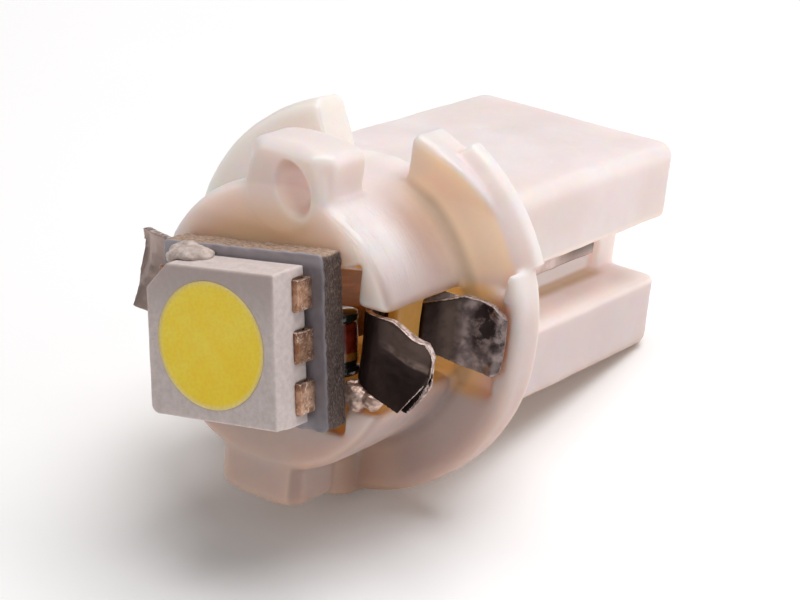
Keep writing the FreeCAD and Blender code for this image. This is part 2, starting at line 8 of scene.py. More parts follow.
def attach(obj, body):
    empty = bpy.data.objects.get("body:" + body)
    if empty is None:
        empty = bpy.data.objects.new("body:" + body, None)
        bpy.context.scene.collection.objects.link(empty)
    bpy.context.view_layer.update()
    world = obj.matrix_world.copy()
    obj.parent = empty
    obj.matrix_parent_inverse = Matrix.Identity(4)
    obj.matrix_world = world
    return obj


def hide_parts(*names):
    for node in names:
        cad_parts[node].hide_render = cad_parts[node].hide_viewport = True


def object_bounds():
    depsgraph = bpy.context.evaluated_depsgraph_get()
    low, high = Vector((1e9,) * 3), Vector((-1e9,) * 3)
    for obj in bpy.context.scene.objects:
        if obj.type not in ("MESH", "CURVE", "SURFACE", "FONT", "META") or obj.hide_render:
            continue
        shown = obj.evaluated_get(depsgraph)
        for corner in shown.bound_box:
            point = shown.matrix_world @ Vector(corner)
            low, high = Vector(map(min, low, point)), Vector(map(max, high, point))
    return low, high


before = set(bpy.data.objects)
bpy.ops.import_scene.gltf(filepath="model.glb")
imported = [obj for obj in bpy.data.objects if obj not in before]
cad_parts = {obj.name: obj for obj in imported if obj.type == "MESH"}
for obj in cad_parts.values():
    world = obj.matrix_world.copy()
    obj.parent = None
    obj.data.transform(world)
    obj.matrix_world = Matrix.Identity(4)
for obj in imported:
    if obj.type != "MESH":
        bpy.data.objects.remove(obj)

CAD_LO, CAD_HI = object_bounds()

# ------------------------------------------------------------------ the bulb's own axes
REST_TILT = 12.15                 # the axis is raised by this where the bulb lies on the table
LED_AT = (7.11, -0.05, 0.09)      # the LED as it is soldered, a little askew
LED_ROLL, LED_PITCH, LED_YAW = 10.0, -1.8, 0.8

ROW_FROM_BULB = Matrix.Rotation(math.radians(-REST_TILT), 4, "Y") @ Matrix.Scale(0.001, 4)
BULB_FROM_ROW = ROW_FROM_BULB.inverted()
BULB_FROM_LED = (Matrix.Translation(LED_AT) @ Matrix.Rotation(math.radians(LED_YAW), 4, "Z")
                 @ Matrix.Rotation(math.radians(LED_PITCH), 4, "Y") @ Matrix.Rotation(math.radians(LED_ROLL), 4, "X"))
LED_FROM_BULB = BULB_FROM_LED.inverted()

scene = bpy.context.scene
coll = scene.collection


# ------------------------------------------------------------------ mesh helpers (mm, bulb or LED axes)
def verts_of(me):
    a = np.empty(len(me.vertices) * 3, np.float32)
    me.vertices.foreach_get("co", a)
    return a.reshape(-1, 3).astype(np.float64)


def set_verts(me, v):
    me.vertices.foreach_set("co", np.ascontiguousarray(v, np.float32).ravel())
    me.update()


def node_copy(name, to=None):
    """A welded copy of a CAD node's mesh in mm, in the bulb's axes or in the axes given."""
    m = BULB_FROM_ROW if to is None else to @ BULB_FROM_ROW
    bm = bmesh.new()
    bm.from_mesh(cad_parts[name].data)
    bmesh.ops.transform(bm, matrix=m, verts=bm.verts)
    bmesh.ops.remove_doubles(bm, verts=bm.verts, dist=2e-4)
    bmesh.ops.recalc_face_normals(bm, faces=bm.faces)
    me = bpy.data.meshes.new(name + "_m")
    bm.to_mesh(me)
    bm.free()
    me.materials.clear()
    return me


def evaluated(me, *mods):
    ob = bpy.data.objects.new("tmp", me)
    coll.objects.link(ob)
    for kind, props in mods:
        m = ob.modifiers.new(kind, kind)
        for k, v in props.items():
            setattr(m, k, v)
    bpy.context.view_layer.update()
    dg = bpy.context.evaluated_depsgraph_get()
    out = bpy.data.meshes.new_from_object(ob.evaluated_get(dg))
    bpy.data.objects.remove(ob)
    return out


def remesh(me, voxel):
    return evaluated(me, ("REMESH", dict(mode="VOXEL", voxel_size=voxel, adaptivity=0.0)))


def relax(me, n, lam=0.5, weight=None):
    """Evens out the surface, which eases every edge; weight (0 to 1 a vertex) says where."""
    e = np.empty(len(me.edges) * 2, np.int32)
    me.edges.foreach_get("vertices", e)
    e = e.reshape(-1, 2)
    v = verts_of(me)
    cnt = np.bincount(e.ravel(), minlength=len(v)).astype(float)[:, None]
    w = lam if weight is None else lam * weight[:, None]
    for _ in range(n):
        acc = np.zeros_like(v)
        for k in range(3):
            acc[:, k] = (np.bincount(e[:, 0], v[e[:, 1], k], len(v)) + np.bincount(e[:, 1], v[e[:, 0], k], len(v)))
        v = v + w * (acc / cnt - v)
    set_verts(me, v)
    return me


def normals_of(me):
    a = np.empty(len(me.vertices) * 3, np.float32)
    me.vertex_normals.foreach_get("vector", a)
    return a.reshape(-1, 3).astype(np.float64)


def wobble(me, amp, size, seed=0.0, mask=None):
    """Moves each vertex along its normal by smooth noise of the given size (mm)."""
    v, n = verts_of(me), normals_of(me)
    d = np.array([noise.noise(Vector((p[0] / size + seed, p[1] / size - seed, p[2] / size + 2 * seed))) for p in v])
    if mask is not None:
        d = d * mask(v)
    set_verts(me, v + n * (amp * d)[:, None])
    return me


def finish_piece(me, name, material, replaces=(), axes=None, smooth=True, more=()):
    m = ROW_FROM_BULB if axes is None else ROW_FROM_BULB @ axes
    me.transform(m)
    me.name = name
    me.materials.clear()
    for x in (material,) + tuple(more):
        me.materials.append(x)
    if smooth:
        me.polygons.foreach_set("use_smooth", np.ones(len(me.polygons), bool))
    ob = bpy.data.objects.new(name, me)
    coll.objects.link(ob)
    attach(ob, "root")
    if replaces:
        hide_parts(*replaces)
    return ob


def smoothstep(x, a, b):
    t = np.clip((x - a) / (b - a), 0.0, 1.0)
    return t * t * (3 - 2 * t)


# ------------------------------------------------------------------ node helpers
def lin(r, g, b):
    def f(c):
        c /= 255.0
        return c / 12.92 if c <= 0.04045 else ((c + 0.055) / 1.055) ** 2.4
    return (f(r), f(g), f(b), 1.0)


class Mat:
    def __init__(self, name, led_axes=False, **bsdf):
        self.m = bpy.data.materials.new(name)
        self.m.use_nodes = True
        self.t = self.m.node_tree
        self.t.nodes.clear()
        self.out = self.t.nodes.new("ShaderNodeOutputMaterial")
        self.b = self.t.nodes.new("ShaderNodeBsdfPrincipled")
        self.t.links.new(self.b.outputs[0], self.out.inputs[0])
        for k, v in bsdf.items():
            self.b.inputs[k.replace("_", " ")].default_value = v
        tc = self.t.nodes.new("ShaderNodeTexCoord")
        # object space (metres, row axes) -> mm in the bulb's axes, or in the LED's
        a = self.t.nodes.new("ShaderNodeVectorMath")
        a.operation = "SCALE"
        a.inputs["Scale"].default_value = 1000.0
        self.t.links.new(tc.outputs["Object"], a.inputs[0])
        r = self.t.nodes.new("ShaderNodeVectorRotate")
        r.rotation_type = "Y_AXIS"
        r.inputs["Angle"].default_value = math.radians(REST_TILT)
        self.t.links.new(a.outputs[0], r.inputs["Vector"])
        self.p = r.outputs[0]
        if led_axes:
            s = self.t.nodes.new("ShaderNodeVectorMath")
            s.operation = "SUBTRACT"
            s.inputs[1].default_value = LED_AT
            self.t.links.new(self.p, s.inputs[0])
            for axis, ang in (("Z_AXIS", LED_YAW), ("Y_AXIS", LED_PITCH), ("X_AXIS", LED_ROLL)):
                q = self.t.nodes.new("ShaderNodeVectorRotate")
                q.rotation_type = axis
                q.inputs["Angle"].default_value = math.radians(-ang)
                self.t.links.new(s.outputs[0], q.inputs["Vector"])
                s = q
            self.p = s.outputs[0]

    def put(self, sock, val):
        if hasattr(val, "is_output"):
            self.t.links.new(val, sock)
        else:
            sock.default_value = val

    def noise(self, scale, detail=3.0, rough=0.5, vec=None, distortion=0.0, offset=None):
        n = self.t.nodes.new("ShaderNodeTexNoise")
        n.inputs["Scale"].default_value = scale
        n.inputs["Detail"].default_value = detail
        n.inputs["Roughness"].default_value = rough
        n.inputs["Distortion"].default_value = distortion
        v = vec or self.p
        if offset is not None:
            a = self.t.nodes.new("ShaderNodeVectorMath")
            a.operation = "ADD"
            a.inputs[1].default_value = offset
            self.t.links.new(v, a.inputs[0])
            v = a.outputs[0]
        self.t.links.new(v, n.inputs["Vector"])
        return n.outputs["Fac"]

    def voronoi(self, scale, feature="F1", out="Distance", vec=None, rand=1.0):
        n = self.t.nodes.new("ShaderNodeTexVoronoi")
        n.feature = feature
        n.inputs["Scale"].default_value = scale
        n.inputs["Randomness"].default_value = rand
        self.t.links.new(vec or self.p, n.inputs["Vector"])
        return n.outputs[out]

    def scaled(self, x, y, z, vec=None):
        n = self.t.nodes.new("ShaderNodeVectorMath")
        n.operation = "MULTIPLY"
        n.inputs[1].default_value = (x, y, z)
        self.t.links.new(vec or self.p, n.inputs[0])
        return n.outputs[0]

    def math(self, op, a, b=0.0, c=None, clamp=False):
        n = self.t.nodes.new("ShaderNodeMath")
        n.operation = op
        n.use_clamp = clamp
        self.put(n.inputs[0], a)
        self.put(n.inputs[1], b)
        if c is not None:
            self.put(n.inputs[2], c)
        return n.outputs[0]

    def ramp(self, fac, a, b, lo=0.0, hi=1.0):
        """fac from a..b to lo..hi, smooth."""
        n = self.t.nodes.new("ShaderNodeMapRange")
        n.interpolation_type = "SMOOTHSTEP"
        n.inputs["From Min"].default_value = a
        n.inputs["From Max"].default_value = b
        n.inputs["To Min"].default_value = lo
        n.inputs["To Max"].default_value = hi
        self.t.links.new(fac, n.inputs["Value"])
        return n.outputs[0]

    def mix(self, fac, a, b, blend="MIX"):
        n = self.t.nodes.new("ShaderNodeMix")
        n.data_type = "RGBA"
        n.blend_type = blend
        n.clamp_factor = True
        self.put(n.inputs[0], fac)
        self.put(n.inputs[6], a)
        self.put(n.inputs[7], b)
        return n.outputs[2]

    def xyz(self, vec=None):
        n = self.t.nodes.new("ShaderNodeSeparateXYZ")
        self.t.links.new(vec or self.p, n.inputs[0])
        return n.outputs[0], n.outputs[1], n.outputs[2]

    def ball(self, c, r, soft=1.0):
        """1 inside a sphere of radius r (mm) about c, 0 outside r*(1+soft)."""
        n = self.t.nodes.new("ShaderNodeVectorMath")
        n.operation = "DISTANCE"
        n.inputs[1].default_value = c
        self.t.links.new(self.p, n.inputs[0])
        return self.ramp(n.outputs["Value"], r, r * (1 + soft), 1.0, 0.0)

    def ao(self, distance_mm, samples=8):
        n = self.t.nodes.new("ShaderNodeAmbientOcclusion")
        n.samples = samples
        n.inputs["Distance"].default_value = distance_mm / 1000.0
        return n.outputs["AO"]

    def pointy(self, a, b, lo=0.0, hi=1.0):
        n = self.t.nodes.new("ShaderNodeNewGeometry")
        return self.ramp(n.outputs["Pointiness"], a, b, lo, hi)

    def bump(self, height, dist_mm, strength=1.0, normal=None):
        n = self.t.nodes.new("ShaderNodeBump")
        n.inputs["Strength"].default_value = strength
        n.inputs["Distance"].default_value = dist_mm / 1000.0
        self.t.links.new(height, n.inputs["Height"])
        if normal is not None:
            self.t.links.new(normal, n.inputs["Normal"])
        return n.outputs[0]

    def set(self, name, sock):
        self.t.links.new(sock, self.b.inputs[name])


# ------------------------------------------------------------------ materials
def make_moulding():
    """Milky ivory moulding: light goes a little way in, which warms its shadows a little; hollows, undersides and
    shaded sides are also given painted shade, and the thin walls, the barrel's inside and the groove are given painted
    light and a faint glow.
    """
    k = Mat("moulding_ivory", IOR=1.47, Subsurface_Weight=1.0, Subsurface_Scale=0.0013)
    k.b.inputs["Subsurface Radius"].default_value = (1.0, 0.62, 0.40)
    k.b.inputs["Specular IOR Level"].default_value = 0.50
    pale, cream, warm, amber = lin(243, 232, 232), lin(238, 225, 222), lin(226, 200, 180), lin(210, 168, 128)
    base = k.mix(k.ramp(k.noise(0.22, 2.0, offset=(3.1, 0, 7.0)), 0.35, 0.65), pale, cream)
    x, y, z = k.xyz()
    shade = k.ao(3.0, 8)
    gap = k.math("MULTIPLY", k.ramp(x, -1.5, -1.9), k.ramp(k.math("ABSOLUTE", z), 1.50, 1.25))
    back = k.math("MULTIPLY", k.math("MULTIPLY", k.ramp(y, 0.2, -0.4), k.math("MULTIPLY", k.ramp(x, 0.3, 0.1), k.ramp(x, -2.1, -1.7))), k.ramp(z, 0.5, 1.5))
    r = k.math("SQRT", k.math("ADD", k.math("MULTIPLY", y, y), k.math("MULTIPLY", z, z)))
    ay = k.math("ABSOLUTE", y)
    az = k.math("ABSOLUTE", z)
    ang = k.math("ARCTAN2", z, y)
    thin = k.math("MULTIPLY", k.ramp(r, 4.60, 5.00), k.ramp(r, 6.50, 6.22))
    thin = k.math("MULTIPLY", thin, k.math("MULTIPLY", k.ramp(ang, 0.30, 0.45), k.ramp(ang, 1.30, 1.05)))
    thin = k.math("MULTIPLY", thin, k.math("MULTIPLY", k.ramp(x, -1.55, -1.25), k.ramp(x, 0.6, 0.2)))
    free = k.math("SUBTRACT", 1.0, k.math("MAXIMUM", k.math("MAXIMUM", gap, k.math("MULTIPLY", thin, 0.6)), k.math("MULTIPLY", back, 0.8)))
    # painted shade: hollows found by ambient occlusion are tinted warm, and amber where deepest, except in the groove,
    # on the thin flange and on the flange's upper far side
    base = k.mix(k.math("MULTIPLY", k.ramp(shade, 0.78, 0.25), free), base, warm)
    base = k.mix(k.math("MULTIPLY", k.ramp(shade, 0.28, 0.03), free), base, amber)
    # painted light: the upper far side of the flange is painted paler
    base = k.mix(k.math("MULTIPLY", back, 0.8), base, lin(250, 240, 234))
    # painted light: mustard colour for light through the thin foot of the web, low in the groove on each side
    foot = k.math("MULTIPLY", gap, k.math("MULTIPLY", k.ramp(z, -1.06, -1.20), k.ramp(x, -13.5, -12.6)))
    foot = k.math("MULTIPLY", foot, k.math("MULTIPLY", k.ramp(ay, 1.9, 2.0), k.ramp(ay, 2.92, 2.42)))
    base = k.mix(k.math("MULTIPLY", foot, 0.88), base, lin(220, 182, 130))
    # painted shade: faces that look down are painted browner, for light that reaches them only through the thickness
    n = k.t.nodes.new("ShaderNodeNewGeometry")
    nx, ny, nz = k.xyz(n.outputs["Normal"])
    under = k.ramp(nz, 0.15, -0.75)
    base = k.mix(k.math("MULTIPLY", under, 0.62), base, lin(190, 152, 126))
    # painted light: inside the barrel the plastic is painted mustard, the slot walls deep amber and the recess under
    # the spring tab pale amber, for light come through the walls into these shaded places
    inside = k.math("MULTIPLY", k.ramp(r, 4.58, 4.38), k.math("MULTIPLY", k.ramp(x, 4.02, 3.80), k.ramp(z, 3.35, 3.20)))
    inside = k.math("MULTIPLY", inside, k.ramp(x, -2.2, -1.2))
    base = k.mix(k.math("MULTIPLY", inside, 0.92), base, lin(206, 160, 84))
    slot = k.math("MULTIPLY", k.math("MULTIPLY", k.ramp(az, 2.05, 1.80), k.ramp(x, 0.05, 0.25)), k.math("MULTIPLY", k.ramp(ay, 3.5, 3.9), k.ramp(x, 4.02, 3.80)))
    base = k.mix(k.math("MULTIPLY", slot, 0.95), base, lin(172, 128, 60))
    rec = k.math("MULTIPLY", k.ramp(ay, 6.15, 5.00), k.math("MULTIPLY", k.ramp(az, 2.10, 1.66), k.ramp(x, 0.16, 0.00)))
    rec = k.math("MULTIPLY", rec, k.ramp(x, -1.4, -0.9))
    base = k.mix(k.math("MULTIPLY", rec, 0.85), base, lin(226, 188, 134))
    # painted light: the flange's thin set-back part is painted warm and pale, for light come through its thin wall
    base = k.mix(k.math("MULTIPLY", thin, 0.72), base, lin(240, 214, 176))
    # painted shade: the low front is painted browner
    low = k.math("MULTIPLY", k.ramp(z, -0.3, -3.6), k.ramp(x, -2.4, -1.2))
    base = k.mix(k.math("MULTIPLY", low, 0.58), base, lin(194, 155, 130))
    # painted shade: the barrel's side is painted darker and browner where it grows out of the flange
    root = k.math("MULTIPLY", k.ramp(x, 2.8, 0.9), k.math("MULTIPLY", k.ramp(r, 5.3, 4.95), k.ramp(r, 4.5, 4.7)))
    root = k.math("MULTIPLY", root, k.math("MULTIPLY", k.ramp(x, -0.6, -0.2), k.ramp(y, 0.9, 3.2)))
    base = k.mix(k.math("MULTIPLY", root, 0.88), base, lin(180, 144, 126))
    # painted shade: the barrel's right side, below the top, is painted greyer and darker
    side = k.math("MULTIPLY", k.ramp(z, 3.9, 1.8), k.math("MULTIPLY", k.ramp(y, 2.2, 3.4), k.ramp(x, -0.3, 0.2)))
    side = k.math("MULTIPLY", side, k.ramp(r, 4.55, 4.72))
    base = k.mix(k.math("MULTIPLY", side, 0.80), base, lin(174, 154, 150))
    # painted shade: the flange's rim at the back, on the right and low down, is painted darker
    rim = k.math("MULTIPLY", k.math("MULTIPLY", k.ramp(r, 6.2, 6.5), k.ramp(x, -2.2, -1.8)), k.math("MULTIPLY", k.ramp(z, 2.2, 0.6), k.ramp(y, 3.0, 4.0)))
    base = k.mix(k.math("MULTIPLY", rim, 0.40), base, lin(192, 170, 166))
    # painted shade: the grip's right side low down is painted greyer
    low2 = k.math("MULTIPLY", k.ramp(x, -1.8, -2.4), k.math("MULTIPLY", k.ramp(z, -0.9, -1.5), k.ramp(y, 4.0, 4.25)))
    base = k.mix(k.math("MULTIPLY", low2, 0.45), base, lin(196, 178, 178))
    # painted shade: the right side of the lower lug is painted darker
    lug = k.math("MULTIPLY", k.math("MULTIPLY", k.ramp(x, 1.2, 1.6), k.ramp(z, -3.6, -4.4)), k.ramp(ny, 0.2, 0.6))
    base = k.mix(k.math("MULTIPLY", lug, 0.55), base, lin(150, 128, 122))

    # painted light: mustard colour for light leaking up over the barrel's front above the board
    leak = k.math("MULTIPLY", k.ramp(r, 4.7, 3.1), k.math("MULTIPLY", k.ramp(x, 3.2, 3.7), k.ramp(z, 1.6, 2.2)))
    base = k.mix(k.math("MULTIPLY", leak, 0.75), base, lin(242, 196, 138))
    mott = k.noise(1.6, 4.0, 0.6)
    base = k.mix(k.ramp(mott, 0.30, 0.75, 0.0, 0.10), base, lin(226, 204, 188))
    k.set("Base Color", base)
    # painted light: faint emission for light come through the walls into the barrel and the groove, and to lift the
    # flange's upper far side, the pad, the thin flange, the recess, the fillet, the mouth and the lug's dimple out of
    # shade
    mouth = k.math("MULTIPLY", k.ramp(x, 3.1, 3.6), k.math("MULTIPLY", k.ramp(z, 1.8, 2.8), k.ramp(r, 4.80, 4.60)))
    fillet = k.math("MULTIPLY", k.math("MULTIPLY", k.ramp(x, 1.3, 0.3), k.ramp(x, -0.8, -0.4)), k.math("MULTIPLY", k.ramp(ang, 0.30, 0.50), k.ramp(ang, 1.30, 1.00)))
    fillet = k.math("MULTIPLY", fillet, k.math("MULTIPLY", k.ramp(r, 4.5, 4.7), k.ramp(r, 5.6, 5.0)))
    hole = k.ball((4.0, 0.38, 4.74), 0.50, 0.5)
    pad = k.math("MULTIPLY", k.math("MULTIPLY", k.ramp(x, 3.80, 4.05), k.ramp(z, 3.0, 3.4)), k.ramp(nx, 0.4, 0.8))
    glow = (0.0, 0.0, 0.0, 1.0)
    for w, strength, colour in ((inside, 0.12, (226, 156, 66)), (slot, 0.035, (226, 146, 40)), (k.math("MULTIPLY", back, k.ramp(nx, 0.3, 0.7)), 0.12, (232, 238, 244)), (pad, 0.06, (240, 218, 194)),
                                (thin, 0.13, (236, 218, 188)), (rec, 0.12, (240, 180, 100)), (k.math("MULTIPLY", rec, k.ramp(z, 0.6, 1.2)), 0.09, (240, 196, 130)), (fillet, 0.10, (240, 204, 158)), (mouth, 0.08, (238, 200, 170)),
                                (hole, 0.11, (240, 214, 196))):
        glow = k.mix(k.math("MULTIPLY", w, strength), glow, lin(*colour), "ADD")
    # painted light: the groove along the grip glows, more on the web wall, less at the foot
    web = k.math("MULTIPLY", k.ramp(ay, 2.6, 2.2), 0.10)
    glow = k.mix(k.math("MULTIPLY", gap, k.math("ADD", k.math("ADD", 0.15, web), k.math("MULTIPLY", foot, -0.14))), glow, lin(232, 216, 208), "ADD")
    k.set("Emission Color", glow)
    k.b.inputs["Emission Strength"].default_value = 1.0
    rough = k.ramp(k.noise(0.9, 3.0, 0.6, offset=(9, 2, 4)), 0.3, 0.7, 0.30, 0.46)
    k.set("Roughness", rough)
    # soft hollows and swells of the moulding, a fine skin, and drag marks on the barrel
    swell = k.noise(0.42, 2.0, 0.5, offset=(1.5, 4, 2))
    skin = k.noise(7.0, 3.0, 0.55)
    n1 = k.bump(swell, 0.16, 0.5)
    n2 = k.bump(skin, 0.006, 0.6, n1)
    marks = k.noise(1.5, 3.0, 0.6, vec=k.scaled(7.0, 0.45, 0.45))
    lines = k.ramp(marks, 0.50, 0.66)
    on = k.ball((2.9, 3.1, 3.5), 1.0, 1.0)
    n3 = k.bump(k.math("MULTIPLY", lines, on), 0.030, 1.0, n2)
    k.set("Normal", n3)
    return k.m


def make_led_white():
    k = Mat("led_white", led_axes=True, IOR=1.5, Subsurface_Weight=0.35, Subsurface_Scale=0.0004)
    k.b.inputs["Subsurface Radius"].default_value = (1.0, 0.8, 0.7)
    grain = k.noise(4.5, 4.0, 0.65)
    c = k.mix(k.ramp(grain, 0.3, 0.7), lin(206, 192, 188), lin(222, 209, 205))
    spots = k.ramp(k.voronoi(2.1), 0.03, 0.10, 1.0, 0.0)
    c = k.mix(k.math("MULTIPLY", spots, 0.30), c, lin(176, 160, 152))
    x, y, z = k.xyz()
    # painted shade: the upper part of the front face is painted darker
    c = k.mix(k.math("MULTIPLY", k.math("MULTIPLY", k.ramp(x, -0.10, -0.03), k.ramp(z, 0.2, 2.4)), 0.72), c, lin(178, 161, 157))
    # painted shade: crevices found by ambient occlusion are tinted darker
    c = k.mix(k.ramp(k.ao(0.4, 4), 0.60, 0.15, 0.0, 0.4), c, lin(186, 164, 150))
    k.set("Base Color", c)
    k.set("Roughness", k.ramp(grain, 0.3, 0.7, 0.40, 0.58))
    k.set("Normal", k.bump(k.noise(16.0, 3.0, 0.6), 0.012, 0.7))
    return k.m


def make_phosphor():
    k = Mat("phosphor_silicone", led_axes=True, IOR=1.42, Subsurface_Weight=0.3, Subsurface_Scale=0.0004)
    k.b.inputs["Subsurface Radius"].default_value = (1.0, 0.8, 0.2)
    x, y, z = k.xyz()
    blotch = k.noise(1.1, 3.0, 0.6)
    c = k.mix(k.ramp(blotch, 0.32, 0.68), lin(255, 226, 64), lin(255, 233, 84))
    low = k.ramp(k.math("ADD", z, k.math("MULTIPLY", y, -0.6)), 0.6, -1.6)
    c = k.mix(k.math("MULTIPLY", low, 0.5), c, lin(250, 216, 24))
    r = k.math("SQRT", k.math("ADD", k.math("MULTIPLY", y, y), k.math("MULTIPLY", z, z)))
    c = k.mix(k.ramp(r, 1.84, 2.04), c, lin(246, 230, 150))
    c = k.mix(k.ramp(k.noise(9.0, 2.0, 0.5), 0.40, 0.62, 0.0, 0.16), c, lin(196, 170, 30))
    k.set("Base Color", c)
    # painted light: a faint orange glow lifts the fill out of shade
    k.b.inputs["Emission Color"].default_value = lin(255, 170, 30)
    k.b.inputs["Emission Strength"].default_value = 0.08
    k.set("Roughness", k.ramp(blotch, 0.3, 0.7, 0.40, 0.52))
    k.set("Normal", k.bump(k.noise(11.0, 2.0, 0.6), 0.010, 0.6))
    return k.m


def make_board():
    """Solder mask on the two faces, bare cut glass fibre on the edges."""
    k = Mat("board_laminate", led_axes=True, IOR=1.5)
    x, y, z = k.xyz()
    face = k.mix(k.ramp(k.noise(2.2, 3.0), 0.3, 0.7), lin(142, 134, 139), lin(166, 158, 163))
    # painted shade: the face darkens towards its right edge; painted light: it is paler along the top
    face = k.mix(k.math("MULTIPLY", k.ramp(y, 2.3, 2.75), 0.55), face, lin(104, 97, 104))
    face = k.mix(k.math("MULTIPLY", k.ramp(z, 2.30, 2.60), 0.55), face, lin(186, 178, 184))
    fib = k.noise(6.0, 4.0, 0.75, vec=k.scaled(3.2, 1.0, 1.0))
    speck = k.ramp(k.noise(9.0, 2.0, 0.8, vec=k.scaled(2.2, 1.0, 1.0)), 0.50, 0.62)
    edge = k.mix(k.ramp(fib, 0.34, 0.66), lin(56, 42, 40), lin(94, 77, 71))
    edge = k.mix(k.math("MULTIPLY", speck, 0.35), edge, lin(170, 150, 136))
    n = k.t.nodes.new("ShaderNodeNewGeometry")
    nx, ny, nz = k.xyz(n.outputs["Normal"])
    # painted light: edges that face up are painted lighter
    edge = k.mix(k.math("MULTIPLY", k.ramp(nz, 0.5, 0.9), 0.8), edge, k.mix(k.ramp(fib, 0.36, 0.60), lin(140, 112, 96), lin(206, 178, 154)))
    front = k.ramp(x, -1.86, -1.78)
    rear = k.ramp(x, -2.72, -2.80)
    on = k.math("MAXIMUM", front, rear)
    c = k.mix(on, edge, face)
    k.set("Base Color", c)
    k.set("Roughness", k.math("ADD", k.math("MULTIPLY", on, -0.30), 0.72))
    h = k.math("ADD", k.math("MULTIPLY", fib, k.math("SUBTRACT", 1.0, on)), k.math("MULTIPLY", k.noise(3.0, 2.0), 0.15))
    k.set("Normal", k.bump(h, 0.05, 0.8))
    return k.m


def make_bare_laminate():
    """Uncoated glass fibre board: amber, with the weave showing faintly."""
    k = Mat("bare_laminate", led_axes=True, IOR=1.5)
    weave = k.noise(5.0, 3.0, 0.6, vec=k.scaled(1.0, 3.0, 1.0))
    c = k.mix(k.ramp(weave, 0.32, 0.68), lin(176, 122, 58), lin(204, 150, 82))
    c = k.mix(k.ramp(k.noise(1.1, 2.0), 0.42, 0.62, 0.0, 0.4), c, lin(140, 92, 44))
    k.set("Base Color", c)
    k.set("Roughness", k.ramp(weave, 0.3, 0.7, 0.46, 0.62))
    k.set("Normal", k.bump(weave, 0.02, 0.6))
    return k.m


def make_contact_metal():
    """Tinned strip gone dark: brown-black tarnish, with a painted pale sheen on the spring tabs, painted light along
    the flap's crease and a painted reflection on the rear legs.
    """
    k = Mat("contact_tarnish_and_sheen", Metallic=0.75, IOR=1.5)
    x, y, z = k.xyz()
    ay = k.math("ABSOLUTE", y)
    big = k.noise(0.75, 2.0, 0.45)
    mid = k.noise(2.2, 3.0, 0.55, offset=(5, 1, 3))
    fine = k.noise(8.0, 3.0, 0.6)
    c = k.mix(k.ramp(big, 0.35, 0.65), lin(44, 31, 28), lin(64, 49, 44))
    c = k.mix(k.ramp(fine, 0.35, 0.75, 0.0, 0.35), c, lin(44, 33, 31))
    # painted light: the flap above its crease is painted lighter, and lightest along the crease itself, where it would
    # catch more light
    h = k.math("ADD", k.math("MULTIPLY", k.math("SUBTRACT", ay, 3.95), 0.361), k.math("MULTIPLY", k.math("SUBTRACT", z, 0.72), 0.932))
    flap = k.math("MULTIPLY", k.ramp(x, 3.1, 3.4), k.ramp(ay, 4.0, 4.5))
    above = k.math("MULTIPLY", k.ramp(h, -0.05, 0.12), flap)
    c = k.mix(k.math("MULTIPLY", above, 0.55), c, lin(112, 92, 84))
    crease_highlight = k.math("MULTIPLY", k.math("MULTIPLY", k.ramp(h, -0.10, 0.02), k.ramp(h, 0.22, 0.06)), flap)
    c = k.mix(k.math("MULTIPLY", crease_highlight, k.ramp(mid, 0.30, 0.60, 0.25, 0.85)), c, lin(150, 128, 118))
    # painted reflection: the rear leg in the grip is painted pale, for the light it reflects
    leg = k.ramp(x, -1.6, -2.4)
    c = k.mix(leg, c, k.mix(k.ramp(mid, 0.3, 0.7), lin(214, 196, 188), lin(240, 226, 220)))
    tail = k.math("MULTIPLY", k.ramp(x, -9.4, -11.6), k.ramp(z, -0.8, 0.0))
    c = k.mix(k.math("MULTIPLY", tail, 0.92), c, lin(98, 82, 76))
    # painted light: the far contact's flap is painted paler than the near one
    far = k.math("MULTIPLY", k.ramp(y, 0.0, -1.0), k.ramp(x, 3.0, 3.4))
    c = k.mix(k.math("MULTIPLY", far, 0.88), c, lin(182, 160, 152))
    bent = k.math("MULTIPLY", k.ramp(x, 1.3, 0.8), k.ramp(x, -1.6, -1.2))
    c = k.mix(k.math("MULTIPLY", bent, 0.45), c, k.mix(k.ramp(mid, 0.35, 0.65), lin(78, 62, 54), lin(120, 100, 90)))
    # the tab in front of the flange: a painted pale violet-grey sheen, and dark burnt blotches near its end
    tab = k.math("MULTIPLY", k.ramp(x, 0.95, 0.55), k.ramp(ay, 4.72, 5.12))
    c = k.mix(k.math("MULTIPLY", tab, 0.85), c, k.mix(k.ramp(mid, 0.32, 0.68), lin(112, 96, 94), lin(182, 164, 160)))
    blot = k.noise(1.7, 4.0, 0.62, offset=(2, 7, 1), distortion=0.25)
    high = k.math("MULTIPLY", k.ramp(z, -0.35, 0.25), k.ramp(ay, 4.95, 5.45))
    b = k.math("MULTIPLY", k.math("MULTIPLY", k.ramp(blot, 0.42, 0.56), tab), high)
    c = k.mix(k.math("MULTIPLY", b, 0.94), c, lin(42, 31, 33))
    b2 = k.math("MULTIPLY", k.ramp(k.noise(1.3, 3.0, 0.6, offset=(9, 2, 6)), 0.52, 0.66), tab)
    c = k.mix(k.math("MULTIPLY", b2, 0.75), c, lin(70, 56, 58))
    k.set("Base Color", c)
    k.set("Roughness", k.ramp(mid, 0.3, 0.7, 0.34, 0.50))
    k.set("Normal", k.bump(fine, 0.008, 0.6, k.bump(mid, 0.03, 0.5)))
    return k.m


